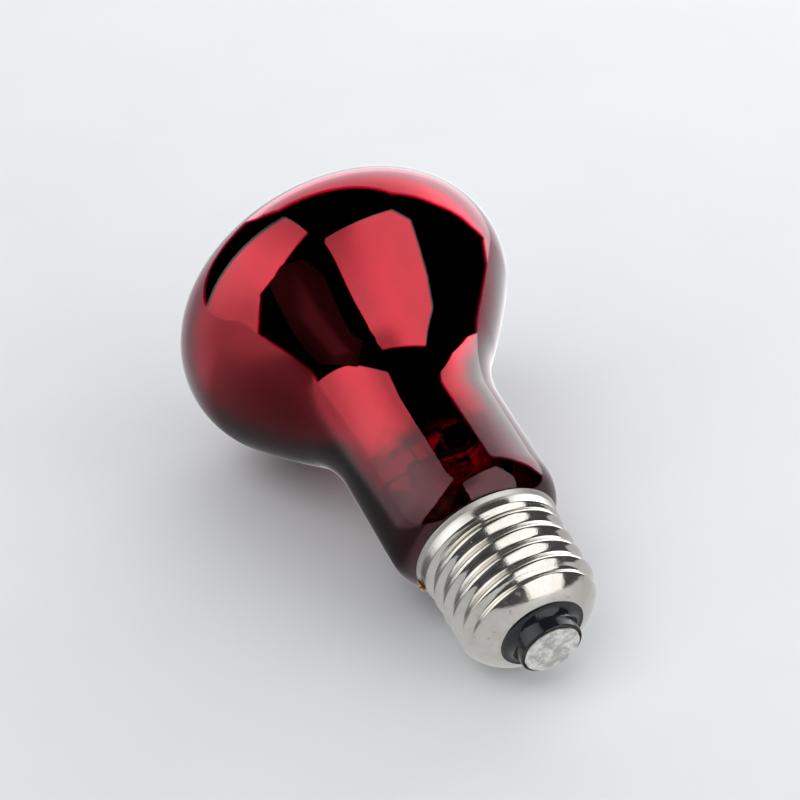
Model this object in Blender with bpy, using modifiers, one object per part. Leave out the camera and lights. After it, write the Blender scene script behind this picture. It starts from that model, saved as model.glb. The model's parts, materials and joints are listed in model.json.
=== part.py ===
"""An infrared reflector lamp with a screw cap, lying on its side.

The lamp is drawn upright about its own Z axis: height 0 is the flat end of the centre contact, and
the lens is at the top. An empty then lays the whole lamp down, so that it rests on the shoulder of
its cap and on the rim of its reflector. Sizes below are in millimetres, and MM turns them to metres.
"""

import math

import bmesh
import bpy
from mathutils import Matrix, Vector

MM = 0.001
SIDES = 24  # flat facets round the large turned shells, one of them facing the ground
WIRE_SIDES = 2  # bevel resolution of every wire
MERGE = 0.00001
CLEAR = 0.25  # gap between pieces that touch on the real lamp

# The blown bulb: each run is (bend radius, turn in degrees, steps) or (0, length, steps) if straight.
# The walk starts at the middle of the lens, and a negative radius bends the wall outwards.
LENS_TOP = 103.0
GLASS_WALL = 0.9
LENS_RUN = (55.5, 26.3, 3)
RIM_RUN = (13.5, 63.7, 5)
BOWL_RUNS = [(14.0, 32.0, 3), (140.0, 6.5, 1), (-22.0, -38.5, 3)]
NECK_RUNS = [(0, 19.07, 1), (8.0, 50.0, 3), (0, 1.6, 1), (-3.0, -50.0, 2), (0, 9.9, 1)]

MIRROR_GAP = 0.06
MIRROR_FILM = 0.08
MIRROR_NECK_END = 46.0

# The screw cap.
CAP_SHEET = 0.3
RIM_HEIGHT = 25.46
RIM_RADIUS = 13.83
BAND_RADIUS = 13.3
BAND_BOTTOM = 22.8
CREST_RADIUS = 13.15
THREAD_DEPTH = 1.05
ROOT_RADIUS = CREST_RADIUS - THREAD_DEPTH
THREAD_PITCH = 3.65
THREAD_ROOT = 17.08  # height of a thread root on the side that faces the ground
THREAD_FADE = (7.0, 8.2, 21.8, 22.8)
RINGS_PER_TURN = 5
DOME_TOP = 9.0
DOME_RADIUS = 12.95
DOME_EDGE = 4.14
DOME_MOUTH = 7.94
DOME_POWER = 1.4
DOME_STEPS = 6

# The end of the cap.
COLLAR_RADIUS = 5.9
COLLAR_END = 0.5
COVE_TOP = 4.0
PLATE_RADIUS = 5.3
PLATE_TOP = 1.3
PLATE_BOTTOM = 0.7
SOLDER_RADIUS = 5.05
SOLDER_TOP = 0.5
LEAD_HOLE = 0.7

# The glass stem.
STEM_RADIUS = 5.0
STEM_WALL = 0.8
STEM_TOP = 38.7
FOOT_RADIUS = 9.7
FOOT_HEIGHT = 13.0
PRESS_BOTTOM = 39.0
PRESS_TOP = 46.5
PRESS_WIDTH = 12.0
PRESS_DEPTH = 3.4
PRESS_ROUND = 1.1
EXHAUST_RADIUS = 2.0
EXHAUST_WALL = 0.8
EXHAUST_TOP = 38.4
EXHAUST_TIP = 10.0
ARBOR_RADIUS = 1.3
BUTTON_RADIUS = 3.0
BUTTON_TOP = 62.4

# Wires and filament.
LEAD_OFFSET = 3.2
SEAL_RADIUS = 0.22
LEAD_RADIUS = 0.3
OUTER_LEAD_RADIUS = 0.15
SUPPORT_RADIUS = 0.15
SUPPORT_ANGLES = (-72.0, -24.0, 24.0, 72.0)
SUPPORT_LOOP = 0.95
FILAMENT_RADIUS = 12.0
FILAMENT_HEIGHT = 67.0
FILAMENT_THICK = 0.45
FILAMENT_HALF_ANGLE = 117.0
LEAD_TIP_ANGLE = 120.0
SIDE_JOINT_ANGLE = 64.0
SIDE_LEAD_RADIUS = 11.3

COLOURS = {
    "ruby_glass": ((0.32, 0.004, 0.012), 0.05, 0.0),
    "aluminium_film": ((0.85, 0.85, 0.87), 0.08, 1.0),
    "nickel_plate": ((0.70, 0.68, 0.64), 0.18, 1.0),
    "black_glass": ((0.010, 0.011, 0.014), 0.12, 0.0),
    "brass": ((0.62, 0.46, 0.20), 0.3, 1.0),
    "solder": ((0.58, 0.58, 0.56), 0.45, 1.0),
    "burnt_solder": ((0.20, 0.12, 0.05), 0.6, 0.4),
    "stem_glass": ((0.75, 0.78, 0.78), 0.05, 0.0),
    "copper": ((0.72, 0.36, 0.22), 0.35, 1.0),
    "nickel_wire": ((0.62, 0.60, 0.57), 0.3, 1.0),
    "molybdenum": ((0.42, 0.42, 0.44), 0.35, 1.0),
    "tungsten": ((0.30, 0.30, 0.32), 0.45, 1.0),
    "cement": ((0.55, 0.50, 0.42), 0.9, 0.0),
}


def clear_scene():
    for obj in list(bpy.data.objects):
        bpy.data.objects.remove(obj)


def new_collection(name):
    collection = bpy.data.collections.new(name)
    bpy.context.scene.collection.children.link(collection)
    return collection


def material(name):
    found = bpy.data.materials.get(name)
    if found:
        return found
    colour, roughness, metallic = COLOURS[name]
    made = bpy.data.materials.new(name)
    made.use_nodes = True
    shader = made.node_tree.nodes["Principled BSDF"]
    shader.inputs["Base Color"].default_value = (*colour, 1.0)
    shader.inputs["Roughness"].default_value = roughness
    shader.inputs["Metallic"].default_value = metallic
    return made


def add_node(name, data, finish):
    """A sub-part of the lamp, hung on the empty that lays the lamp down."""
    data.name = name
    data.materials.append(material(finish))
    obj = bpy.data.objects.new(name, data)
    parts.objects.link(obj)
    obj.parent = lamp
    return obj


def inset_line(points, distance):
    """The same line moved inwards, off its outer face, for points that run from top to bottom."""
    moved = []
    for i, (radius, height) in enumerate(points):
        before = Vector(points[max(i - 1, 0)])
        after = Vector(points[min(i + 1, len(points) - 1)])
        along = (after - before).normalized()
        moved.append((max(radius + along.y * distance, 0.0), height - along.x * distance))
    return moved


def walk(start, heading, runs):
    """Follows straight and round runs of a wall. heading is in degrees below the horizontal."""
    radius, height = start
    points = [start]
    for bend, amount, steps in runs:
        for _ in range(steps):
            angle = math.radians(heading)
            if bend == 0:
                radius += math.cos(angle) * amount / steps
                height -= math.sin(angle) * amount / steps
            else:
                heading += amount / steps
                turned_to = math.radians(heading)
                radius += bend * (math.sin(turned_to) - math.sin(angle))
                height += bend * (math.cos(turned_to) - math.cos(angle))
            points.append((radius, height))
    return points


def outline_mesh(profile, sides, closed):
    """The profile as edges, on the plane that puts the middle of a facet at +X."""
    half_facet = math.pi / sides
    # A flat facet touches the true round surface, so its corners stand out by this factor.
    corner = 1.0 / math.cos(half_facet)
    count = len(profile)
    points = []
    for radius, height in profile:
        reach = radius * corner * MM
        points.append((reach * math.cos(half_facet), reach * math.sin(half_facet), height * MM))
    edges = [(i, i + 1) for i in range(count - 1)]
    if closed:
        edges.append((count - 1, 0))
    mesh = bpy.data.meshes.new("outline")
    mesh.from_pydata(points, edges, [])
    return mesh


def turned(name, profile, finish, sides=SIDES):
    """A solid of revolution. The profile is (radius, height), down its outer side and back up inside."""
    on_axis = profile[0][0] == 0.0 and profile[-1][0] == 0.0
    obj = add_node(name, outline_mesh(profile, sides, not on_axis), finish)
    screw = obj.modifiers.new("Turn", "SCREW")
    screw.axis = "Z"
    screw.angle = math.tau
    screw.steps = sides
    screw.render_steps = sides
    screw.use_merge_vertices = True
    screw.merge_threshold = MERGE
    screw.use_smooth_shade = True
    return obj


def wire(name, points, radius, finish):
    """A round wire along straight runs between points given in millimetres."""
    curve = bpy.data.curves.new(name, "CURVE")
    curve.dimensions = "3D"
    curve.bevel_depth = radius * MM
    curve.bevel_resolution = WIRE_SIDES
    curve.use_fill_caps = True
    spline = curve.splines.new("POLY")
    spline.points.add(len(points) - 1)
    for slot, point in zip(spline.points, points):
        slot.co = (*(value * MM for value in point), 1.0)
    return add_node(name, curve, finish)


def around(radius, degrees, height):
    angle = math.radians(degrees)
    return (radius * math.cos(angle), radius * math.sin(angle), height)


def fade(value, low, high):
    part = min(max((value - low) / (high - low), 0.0), 1.0)
    return part * part * (3.0 - 2.0 * part)


def dome_line():
    """The rounded bottom of the cap, from the thread in to the mouth that the black glass fills."""
    points = []
    for step in range(DOME_STEPS + 1):
        down = step / DOME_STEPS
        reach = (1.0 - down**DOME_POWER) ** (1.0 / DOME_POWER)
        radius = DOME_MOUTH + (DOME_RADIUS - DOME_MOUTH) * reach
        points.append((radius, DOME_TOP + (DOME_EDGE - DOME_TOP) * down))
    return points


def thread_cut(height, angle):
    """How deep the rolled thread is pressed in at this height and angle."""
    root = THREAD_ROOT + THREAD_PITCH * angle / math.tau
    wave = 0.5 + 0.5 * math.cos(math.tau * (height - root) / THREAD_PITCH)
    low_from, low_to, high_from, high_to = THREAD_FADE
    present = fade(height, low_from, low_to) * (1.0 - fade(height, high_from, high_to))
    return THREAD_DEPTH * wave * present


def cap_line():
    """The cap's outer side before the thread is rolled in, from the rim to the mouth."""
    points = [(RIM_RADIUS, RIM_HEIGHT), (BAND_RADIUS, RIM_HEIGHT - 0.8), (BAND_RADIUS, BAND_BOTTOM)]
    rings = round((BAND_BOTTOM - DOME_TOP) / THREAD_PITCH * RINGS_PER_TURN)
    for ring in range(1, rings):
        height = BAND_BOTTOM + (DOME_TOP - BAND_BOTTOM) * ring / rings
        points.append((CREST_RADIUS, height))
    return points + dome_line()


def build_glass(outer_line):
    inner_line = inset_line(outer_line, GLASS_WALL)
    inner_line[0] = (0.0, LENS_TOP - GLASS_WALL)
    turned("glass_envelope", outer_line + inner_line[::-1], "ruby_glass")


def build_mirror(bowl_line):
    """The reflecting film inside, from just past the widest part of the bowl down into the neck."""
    line = bowl_line + [(bowl_line[-1][0], MIRROR_NECK_END)]
    face = inset_line(line, GLASS_WALL + MIRROR_GAP)
    back = inset_line(line, GLASS_WALL + MIRROR_GAP + MIRROR_FILM)
    turned("mirror_coating", face + back[::-1], "aluminium_film")


def build_cap():
    """A turned sleeve with the thread pressed in, then given the thickness of its sheet."""
    sleeve = bmesh.new()
    profile = outline_mesh(cap_line(), SIDES, False)
    sleeve.from_mesh(profile)
    bpy.data.meshes.remove(profile)
    bmesh.ops.spin(
        sleeve,
        geom=sleeve.verts[:] + sleeve.edges[:],
        cent=(0, 0, 0),
        axis=(0, 0, 1),
        angle=math.tau,
        steps=SIDES,
        use_merge=True,
    )
    bmesh.ops.remove_doubles(sleeve, verts=sleeve.verts, dist=MERGE)
    for vert in sleeve.verts:
        angle = math.atan2(vert.co.y, vert.co.x)
        cut = thread_cut(vert.co.z / MM, angle) * MM
        radius = math.hypot(vert.co.x, vert.co.y)
        vert.co.x *= (radius - cut) / radius
        vert.co.y *= (radius - cut) / radius
    bmesh.ops.recalc_face_normals(sleeve, faces=sleeve.faces)
    if sum(face.normal.dot(face.calc_center_median() * Vector((1, 1, 0))) for face in sleeve.faces) < 0:
        bmesh.ops.reverse_faces(sleeve, faces=sleeve.faces)
    mesh = bpy.data.meshes.new("cap_shell")
    sleeve.to_mesh(mesh)
    sleeve.free()
    mesh.shade_smooth()
    obj = add_node("cap_shell", mesh, "nickel_plate")
    solid = obj.modifiers.new("Sheet", "SOLIDIFY")
    solid.thickness = CAP_SHEET * MM
    solid.offset = -1.0


def build_cap_end():
    """Black glass in the cap's mouth, the contact plate on it, and the solder over the plate."""
    outside = inset_line(dome_line(), CAP_SHEET + CLEAR)
    # The glass stays below the last turn of the thread, and ends where the cove begins.
    outside = [point for point in outside if point[0] < ROOT_RADIUS - 0.9 and point[1] > COVE_TOP + 0.6]
    cove = []
    for step in range(5):
        turn = math.radians(22.5 * step)
        cove.append(
            (
                DOME_MOUTH - CLEAR - (DOME_MOUTH - CLEAR - COLLAR_RADIUS) * math.sin(turn),
                COVE_TOP - 2.4 * (1.0 - math.cos(turn)),
            )
        )
    seat = PLATE_TOP + CLEAR
    face = [
        (COLLAR_RADIUS, COLLAR_END + 0.3),
        (COLLAR_RADIUS - 0.15, COLLAR_END),
        (PLATE_RADIUS + CLEAR, COLLAR_END),
        (PLATE_RADIUS + CLEAR, seat),
        (LEAD_HOLE, seat),
        (LEAD_HOLE, 4.6),
    ]
    turned("cap_insulator", outside + cove + face + [(9.0, 7.2)], "black_glass")
    plate = [
        (PLATE_RADIUS, PLATE_TOP),
        (PLATE_RADIUS, PLATE_BOTTOM),
        (LEAD_HOLE, PLATE_BOTTOM),
        (LEAD_HOLE, PLATE_TOP),
    ]
    turned("contact_plate", plate, "brass")
    solder = [
        (0.0, SOLDER_TOP),
        (SOLDER_RADIUS, SOLDER_TOP),
        (SOLDER_RADIUS, 0.2),
        (SOLDER_RADIUS - 0.2, 0.0),
        (0.0, 0.0),
    ]
    turned("centre_solder", solder, "solder")


def build_side_solder():
    """A drop of solder on the outside of the rim, over the end of the side lead."""
    drop = bmesh.new()
    bmesh.ops.create_uvsphere(drop, u_segments=12, v_segments=8, radius=MM)
    bmesh.ops.scale(drop, verts=drop.verts, vec=(0.4, 1.3, 0.75))
    place = Matrix.Rotation(math.radians(SIDE_JOINT_ANGLE), 4, "Z")
    place = place @ Matrix.Translation(Vector((RIM_RADIUS + 0.65, 0.0, RIM_HEIGHT - 0.3)) * MM)
    bmesh.ops.transform(drop, verts=drop.verts, matrix=place)
    mesh = bpy.data.meshes.new("side_solder")
    drop.to_mesh(mesh)
    drop.free()
    mesh.shade_smooth()
    add_node("side_solder", mesh, "burnt_solder")


def build_cement(neck_line):
    """Cement between the top of the cap and the neck, with a channel for the side lead."""
    top, bottom = BAND_BOTTOM + 1.5, BAND_BOTTOM
    outer = BAND_RADIUS - CAP_SHEET - CLEAR
    inner = neck_line[-2][0] + CLEAR
    profile = [(outer, top), (outer, bottom), (inner, bottom), (inner + 0.8, top)]
    ring = turned("basing_cement", profile, "cement")
    add_cut(ring, "lead_channel", (3.0, 1.2, 4.0), around(11.9, SIDE_JOINT_ANGLE, top - 0.7), SIDE_JOINT_ANGLE)


def add_cut(obj, name, size, centre, degrees):
    """Cuts a block out of obj. size and centre are in millimetres, turned about the lamp's axis."""
    block = bmesh.new()
    bmesh.ops.create_cube(block, size=MM)
    bmesh.ops.scale(block, verts=block.verts, vec=size)
    place = Matrix.Translation(Vector(centre) * MM) @ Matrix.Rotation(math.radians(degrees), 4, "Z")
    bmesh.ops.transform(block, verts=block.verts, matrix=place)
    use_cutter(obj, name, block)


def use_cutter(obj, name, shape):
    mesh = bpy.data.meshes.new(name)
    shape.to_mesh(mesh)
    shape.free()
    cutter = bpy.data.objects.new(name, mesh)
    cutters.objects.link(cutter)
    cutter.parent = lamp
    cutter.hide_render = True
    cutter.display_type = "WIRE"
    cut = obj.modifiers.new(name, "BOOLEAN")
    cut.operation = "DIFFERENCE"
    cut.object = cutter


def build_stem():
    """The flared tube, the pinched press, the exhaust tube, and the rod with its button."""
    outer = [
        (STEM_RADIUS, STEM_TOP),
        (STEM_RADIUS, FOOT_HEIGHT + 8.0),
        (STEM_RADIUS + 0.6, FOOT_HEIGHT + 4.6),
        (STEM_RADIUS + 2.2, FOOT_HEIGHT + 2.0),
        (FOOT_RADIUS, FOOT_HEIGHT + 0.6),
    ]
    turned("flare_tube", outer + inset_line(outer, STEM_WALL)[::-1], "stem_glass")

    block = bmesh.new()
    bmesh.ops.create_cube(block, size=MM)
    bmesh.ops.scale(block, verts=block.verts, vec=(PRESS_DEPTH, PRESS_WIDTH, PRESS_TOP - PRESS_BOTTOM))
    bmesh.ops.translate(block, verts=block.verts, vec=(0, 0, (PRESS_TOP + PRESS_BOTTOM) / 2 * MM))
    mesh = bpy.data.meshes.new("stem_press")
    block.to_mesh(mesh)
    block.free()
    press = add_node("stem_press", mesh, "stem_glass")
    soften = press.modifiers.new("Rounding", "BEVEL")
    soften.width = PRESS_ROUND * MM
    soften.segments = 2
    for side, offset in (("centre", -LEAD_OFFSET), ("side", LEAD_OFFSET)):
        bore = bmesh.new()
        bmesh.ops.create_cone(
            bore,
            cap_ends=True,
            segments=10,
            radius1=(SEAL_RADIUS + CLEAR) * MM,
            radius2=(SEAL_RADIUS + CLEAR) * MM,
            depth=(PRESS_TOP - PRESS_BOTTOM + 4.0) * MM,
        )
        middle = Vector((0.0, offset, (PRESS_TOP + PRESS_BOTTOM) / 2)) * MM
        bmesh.ops.translate(bore, verts=bore.verts, vec=middle)
        use_cutter(press, f"seal_bore_{side}", bore)

    bore_radius = EXHAUST_RADIUS - EXHAUST_WALL
    tube = [
        (EXHAUST_RADIUS, EXHAUST_TOP),
        (EXHAUST_RADIUS, EXHAUST_TIP + 2.5),
        (EXHAUST_RADIUS * 0.75, EXHAUST_TIP + 0.8),
        (0.0, EXHAUST_TIP),
        (0.0, EXHAUST_TIP + 2.2),
        (bore_radius, EXHAUST_TIP + 3.2),
        (bore_radius, EXHAUST_TOP),
    ]
    turned("exhaust_tube", tube, "stem_glass", 12)

    rod = [
        (0.0, BUTTON_TOP),
        (BUTTON_RADIUS * 0.6, BUTTON_TOP - 0.2),
        (BUTTON_RADIUS, BUTTON_TOP - 1.2),
        (BUTTON_RADIUS * 0.9, BUTTON_TOP - 2.0),
        (ARBOR_RADIUS, BUTTON_TOP - 3.6),
        (ARBOR_RADIUS, PRESS_TOP + CLEAR),
        (0.0, PRESS_TOP + CLEAR),
    ]
    turned("arbor_rod", rod, "stem_glass", 12)


def build_leads():
    """Three wires in a row on each side: copper below the press, a seal wire in it, nickel above."""
    for side, sign in (("centre", -1.0), ("side", 1.0)):
        y = sign * LEAD_OFFSET
        seal = [(0.0, y, PRESS_BOTTOM - 0.9), (0.0, y, PRESS_TOP + 0.9)]
        wire(f"seal_wire_{side}", seal, SEAL_RADIUS, "copper")
        tip = sign * LEAD_TIP_ANGLE
        inner = [
            (0.0, y, PRESS_TOP + 0.9 + CLEAR),
            (0.0, y, PRESS_TOP + 3.5),
            around(FILAMENT_RADIUS - 1.0, tip, FILAMENT_HEIGHT - 4.0),
            around(FILAMENT_RADIUS, tip, FILAMENT_HEIGHT - 2.0),
            around(FILAMENT_RADIUS, tip, FILAMENT_HEIGHT + 0.9),
        ]
        wire(f"inner_lead_{side}", inner, LEAD_RADIUS, "nickel_wire")
    top = PRESS_BOTTOM - 0.9 - CLEAR
    turn_out = FOOT_HEIGHT - 1.8
    centre = [
        (0.0, -LEAD_OFFSET, top),
        (0.0, -LEAD_OFFSET, EXHAUST_TIP + 0.5),
        (0.0, -LEAD_OFFSET * 0.8, EXHAUST_TIP - 1.5),
        (0.0, -0.4, 6.5),
        (0.0, 0.0, 5.2),
        (0.0, 0.0, SOLDER_TOP + CLEAR),
    ]
    wire("outer_lead_centre", centre, OUTER_LEAD_RADIUS, "copper")
    side = [
        (0.0, LEAD_OFFSET, top),
        (0.0, LEAD_OFFSET, turn_out + 0.6),
        (0.4, LEAD_OFFSET + 0.6, turn_out - 0.1),
        around(SIDE_LEAD_RADIUS - 0.8, SIDE_JOINT_ANGLE, turn_out - 0.1),
        around(SIDE_LEAD_RADIUS, SIDE_JOINT_ANGLE, turn_out + 0.7),
        around(SIDE_LEAD_RADIUS, SIDE_JOINT_ANGLE, BAND_BOTTOM - 0.5),
        around(SIDE_LEAD_RADIUS + 1.2, SIDE_JOINT_ANGLE, RIM_HEIGHT - 0.9),
    ]
    wire("outer_lead_side", side, OUTER_LEAD_RADIUS, "copper")


def build_filament():
    """The coiled filament as a round arc, and the four hooks that carry it from the button."""
    steps = 26
    arc = []
    for step in range(steps + 1):
        angle = FILAMENT_HALF_ANGLE * (2.0 * step / steps - 1.0)
        arc.append(around(FILAMENT_RADIUS, angle, FILAMENT_HEIGHT))
    wire("filament", arc, FILAMENT_THICK, "tungsten")
    for number, degrees in enumerate(SUPPORT_ANGLES, 1):
        points = [
            around(BUTTON_RADIUS + CLEAR + SUPPORT_RADIUS, degrees, BUTTON_TOP - 1.1),
            around(BUTTON_RADIUS + 2.0, degrees, BUTTON_TOP - 0.6),
        ]
        for step in range(9):
            turn = math.radians(-100.0 + 33.0 * step)
            reach = FILAMENT_RADIUS + SUPPORT_LOOP * math.sin(turn)
            points.append(around(reach, degrees, FILAMENT_HEIGHT - SUPPORT_LOOP * math.cos(turn)))
        wire(f"support_wire_{number}", points, SUPPORT_RADIUS, "molybdenum")


def depth_below_axis(points, tilt):
    """How far the line reaches below the lamp's origin once the lamp is tipped up by tilt."""
    return max(radius * math.cos(tilt) - height * math.sin(tilt) for radius, height in points)


def resting_tilt(head, cap):
    """The angle at which the head and the cap both touch the ground, found by halving."""
    low, high = 0.0, math.radians(45.0)
    for _ in range(50):
        middle = (low + high) / 2
        if depth_below_axis(head, middle) > depth_below_axis(cap, middle):
            low = middle
        else:
            high = middle
    return low


clear_scene()
parts = new_collection("infrared_heat_lamp")
cutters = new_collection("cutters")
lamp = bpy.data.objects.new("lamp", None)
parts.objects.link(lamp)

lens_line = walk((0.0, LENS_TOP), 0.0, [LENS_RUN, RIM_RUN])
bowl_line = walk(lens_line[-1], 90.0, BOWL_RUNS)
neck_line = walk(bowl_line[-1], 90.0, NECK_RUNS)
build_glass(lens_line + bowl_line[1:] + neck_line[1:])
build_mirror(lens_line[-3:] + bowl_line[1:])
build_cap()
build_cap_end()
build_side_solder()
build_cement(neck_line)
build_stem()
build_leads()
build_filament()

head = lens_line + bowl_line
ground_side = [(radius - thread_cut(height, 0.0), height) for radius, height in cap_line()]
tilt = resting_tilt(head, ground_side)
drop = max(depth_below_axis(head, tilt), depth_below_axis(ground_side, tilt))
front = max(height * math.cos(tilt) + radius * math.sin(tilt) for radius, height in head)
back = -SOLDER_RADIUS * math.sin(tilt)
lamp.rotation_euler = (0.0, math.pi / 2 - tilt, 0.0)
lamp.location = (-(front + back) / 2 * MM, 0.0, drop * MM)
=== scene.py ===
"""The infrared reflector lamp as it is put together, lying on its side in a plain pale studio."""

import json
import math

import bmesh
import bpy
from mathutils import Matrix, Vector, noise


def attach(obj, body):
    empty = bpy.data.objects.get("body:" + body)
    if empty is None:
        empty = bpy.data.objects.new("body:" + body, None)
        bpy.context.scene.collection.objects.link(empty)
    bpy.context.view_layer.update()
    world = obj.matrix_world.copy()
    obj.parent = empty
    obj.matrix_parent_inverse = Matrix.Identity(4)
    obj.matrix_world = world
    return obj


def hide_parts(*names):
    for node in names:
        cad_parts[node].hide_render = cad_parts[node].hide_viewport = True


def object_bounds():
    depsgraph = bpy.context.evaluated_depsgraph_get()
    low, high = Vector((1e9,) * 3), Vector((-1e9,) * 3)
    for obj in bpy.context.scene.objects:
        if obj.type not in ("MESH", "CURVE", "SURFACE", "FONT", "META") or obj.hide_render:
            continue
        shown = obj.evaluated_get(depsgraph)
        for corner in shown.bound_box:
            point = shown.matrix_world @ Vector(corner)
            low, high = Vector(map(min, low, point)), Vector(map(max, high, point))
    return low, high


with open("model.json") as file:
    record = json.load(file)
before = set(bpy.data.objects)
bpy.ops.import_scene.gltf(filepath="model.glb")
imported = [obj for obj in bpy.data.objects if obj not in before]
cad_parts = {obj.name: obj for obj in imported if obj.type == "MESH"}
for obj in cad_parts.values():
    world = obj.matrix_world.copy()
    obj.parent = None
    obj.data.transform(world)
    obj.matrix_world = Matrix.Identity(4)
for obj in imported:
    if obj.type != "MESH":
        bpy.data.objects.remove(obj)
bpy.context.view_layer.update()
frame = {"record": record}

# ------------------------------------------------------------------------------------ ruby bulb
# The bulb is blown in one piece from ruby glass 0.9 mm thick: a shallow lens, a rounded rim, the bowl
# of the reflector and a straight neck, drawn in at its foot to go into the cap. Everything is drawn
# upright in millimetres, up from the flat end of the centre contact, then laid down at that contact.
MM = 0.001
ROUND = 160
LENS_TOP = 103.0
GLASS_WALL = 0.9
LENS_AND_RIM = [(55.5, 26.3), (13.5, 63.7)]
BOWL = [(14.0, 32.0), (140.0, 6.5), (-22.0, -38.5)]
NECK = [(0, 19.07), (8.0, 50.0), (0, 1.6), (-3.0, -50.0), (0, 9.9)]
RUBY = (0.72, 0.010, 0.120, 1.0)
DEEP_RUBY = (0.66, 0.008, 0.100, 1.0)
EDGE_RUBY = (0.010, 0.001, 0.003, 1.0)
EDGE_FROM, EDGE_TO = 0.50, 0.77
NECK_FROM, NECK_TO = 62.0, 54.0
NECK_SLANT = 0.16
RIPPLE = 0.02

contact = next(mount for mount in frame["record"]["mounts"] if mount["name"] == "centre_contact")
lamp_up = -Vector(contact["axis"]).normalized()
lamp_side = Vector((0.0, 1.0, 0.0))
lamp_turn = Matrix((lamp_side.cross(lamp_up), lamp_side, lamp_up)).transposed().to_4x4()
lamp_place = Matrix.Translation(Vector(contact["pos_m"])) @ lamp_turn


def draw_wall(shape, start, heading, runs, straight_step=1.0):
    """Draws an outline: (0, length) goes straight on, (radius, degrees) bends, outwards if negative."""
    tip = bmesh.ops.create_vert(shape, co=(start[0], 0.0, start[1]))["vert"][0]
    for bend, amount in runs:
        angle = math.radians(heading)
        if bend == 0:
            steps = max(1, round(amount / straight_step))
            ahead = Vector((math.cos(angle), 0.0, -math.sin(angle))) * amount / steps
            for _ in range(steps):
                tip = bmesh.ops.extrude_vert_indiv(shape, verts=[tip])["verts"][0]
                tip.co += ahead
            continue
        centre = tip.co - Vector((math.sin(angle), 0.0, math.cos(angle))) * bend
        made = bmesh.ops.spin(
            shape,
            geom=[tip],
            cent=centre,
            axis=(0, 1, 0),
            angle=math.radians(amount),
            steps=max(3, round(abs(amount) / 2.0)),
        )
        tip = next(part for part in made["geom_last"] if isinstance(part, bmesh.types.BMVert))
        heading += amount
    return tip


def turn_round(shape, steps=ROUND):
    """Spins an outline once round the lamp's axis, closes its seam, and faces it outwards."""
    bmesh.ops.spin(
        shape,
        geom=shape.verts[:] + shape.edges[:],
        cent=(0, 0, 0),
        axis=(0, 0, 1),
        angle=math.tau,
        steps=steps,
        use_merge=True,
    )
    face_out(shape)


def face_out(shape):
    """Merges doubles and turns every face outwards."""
    bmesh.ops.remove_doubles(shape, verts=shape.verts, dist=0.0005)
    bmesh.ops.recalc_face_normals(shape, faces=shape.faces)
    if shape.calc_volume(signed=True) < 0.0:
        bmesh.ops.reverse_faces(shape, faces=shape.faces)


def lay_down(shape, name, finish):
    """Makes a piece of a shape that was drawn upright, lying where the frame has it."""
    bmesh.ops.transform(shape, verts=shape.verts, matrix=lamp_place @ Matrix.Scale(MM, 4))
    mesh = bpy.data.meshes.new(name)
    shape.to_mesh(mesh)
    shape.free()
    mesh.shade_smooth()
    mesh.materials.append(finish)
    piece = bpy.data.objects.new(name, mesh)
    bpy.context.scene.collection.objects.link(piece)
    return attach(piece, "root")


def give_wall(piece, wall, edge):
    """Thickens a skin inwards, and rounds the cut edges of its sheet."""
    thick = piece.modifiers.new("Wall", "SOLIDIFY")
    thick.thickness = wall * MM
    thick.offset = -1.0
    soft = piece.modifiers.new("Cut edge", "BEVEL")
    soft.width = edge * MM
    soft.segments = 2
    soft.limit_method = "ANGLE"
    soft.angle_limit = math.radians(55.0)


def new_finish(name, **settings):
    """A material on one Principled shader, with the settings of its sockets."""
    made = bpy.data.materials.new(name)
    made.use_nodes = True
    shader = made.node_tree.nodes["Principled BSDF"]
    for socket, value in settings.items():
        shader.inputs[socket.replace("_", " ")].default_value = value
    return made


def put(finish, kind, inputs, **settings):
    """Adds a node to a material. An input is a value, or the socket that is joined to it."""
    made = finish.node_tree.nodes.new("ShaderNode" + kind)
    for setting, value in settings.items():
        setattr(made, setting, value)
    for socket, value in inputs.items():
        if isinstance(value, bpy.types.NodeSocket):
            finish.node_tree.links.new(value, made.inputs[socket])
        else:
            made.inputs[socket].default_value = value
    return made


def upright(finish, stretch=(1.0, 1.0, 1.0)):
    """The place on the upright lamp in millimetres, so that a pattern follows its axis."""
    spot = put(finish, "TexCoord", {}).outputs["Object"]
    inputs = {
        "Vector": spot,
        "Location": lamp_place.translation,
        "Rotation": lamp_turn.to_euler(),
        "Scale": (MM * stretch[0], MM * stretch[1], MM * stretch[2]),
    }
    return put(finish, "Mapping", inputs, vector_type="TEXTURE").outputs["Vector"]


def cloudy(finish, spot, scale, detail=2.0, rough=0.5):
    """A soft cloudy pattern from 0 to 1, with so many lumps to a millimetre."""
    inputs = {"Vector": spot, "Scale": scale, "Detail": detail, "Roughness": rough}
    return put(finish, "TexNoise", inputs).outputs["Fac"]


def spread(finish, value, low, high, to_low=0.0, to_high=1.0):
    """Carries low to high over to another span, easing in and out, and holds its ends."""
    inputs = {"Value": value, "From Min": low, "From Max": high, "To Min": to_low, "To Max": to_high}
    return put(finish, "MapRange", inputs, interpolation_type="SMOOTHSTEP").outputs["Result"]


def combined(finish, how, first, second):
    """Adds, multiplies or otherwise works out one number from two."""
    return put(finish, "Math", {0: first, 1: second}, operation=how).outputs[0]


def mixed(finish, part, first, second):
    """The first colour where part is 0, the second where it is 1."""
    return put(finish, "Mix", {0: part, 6: first, 7: second}, data_type="RGBA").outputs[2]


def raised(finish, height, depth):
    """Raises the surface by a height from 0 to 1, depth in millimetres."""
    return put(finish, "Bump", {"Height": height, "Distance": depth * MM}).outputs["Normal"]


def height_of(finish, spot):
    """How far up the upright lamp a place is, in millimetres."""
    return put(finish, "SeparateXYZ", {"Vector": spot}).outputs["Z"]


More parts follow.
